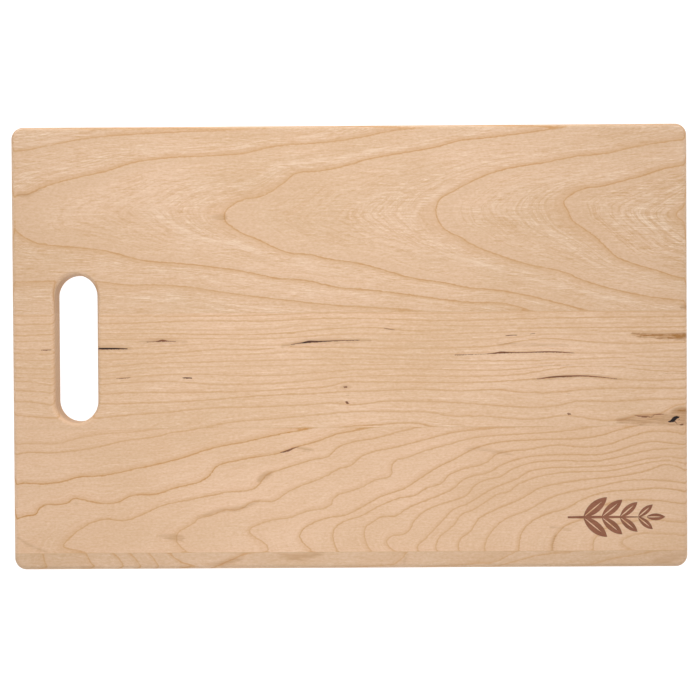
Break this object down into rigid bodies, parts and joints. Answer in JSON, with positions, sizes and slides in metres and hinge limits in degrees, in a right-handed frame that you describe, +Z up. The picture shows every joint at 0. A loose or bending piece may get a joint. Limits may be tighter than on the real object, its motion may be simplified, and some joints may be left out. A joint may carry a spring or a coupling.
{
  "type": "cutting board",
  "caption": "Rectangular edge-glued hardwood cutting board with a through hand slot near one end, rounded corners, eased edges and a small engraved leaf sprig.",
  "frame": {"origin": "middle of the underside, on the surface that the board lies on", "axes": "+X along the board, away from the hand slot; +Y across the board, away from the engraved sprig; +Z up through the thickness, out of the engraved work surface"},
  "size_m": [0.457, 0.3, 0.019],
  "materials": {
    "hardwood": "fine-sanded pale hardwood with a light food-safe oil, satin",
    "wood_glue": "cured translucent amber wood glue, seen only as a hairline"
  },
  "bodies": {
    "root": {"rear_stave": "hardwood", "middle_stave": "hardwood", "front_stave": "hardwood", "front_edge_strip": "hardwood", "rear_glue_line": "wood_glue", "middle_glue_line": "wood_glue", "front_glue_line": "wood_glue"}
  },
  "joints": []
}
